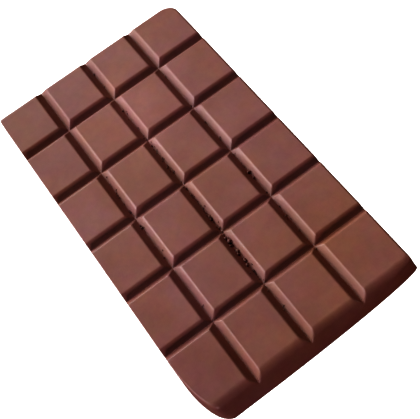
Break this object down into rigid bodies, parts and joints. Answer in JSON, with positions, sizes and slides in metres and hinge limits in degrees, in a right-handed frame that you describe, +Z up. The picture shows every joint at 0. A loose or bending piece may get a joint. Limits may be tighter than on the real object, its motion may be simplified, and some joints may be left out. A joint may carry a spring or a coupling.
{
  "type": "chocolate bar",
  "caption": "Flat moulded chocolate bar with a grid of rectangular squares parted by V-shaped break grooves, smooth sloping ends and a flat back.",
  "frame": {"origin": "middle of the outline of the flat back, in the plane the bar rests on", "axes": "+Z up out of the squares, +Y along the bar's length towards the far end, +X across its width"},
  "size_m": [0.077, 0.1392, 0.0081],
  "materials": {
    "chocolate": "satin milk chocolate, soft sheen"
  },
  "bodies": {
    "root": {"chocolate_bar": "chocolate"}
  },
  "joints": []
}
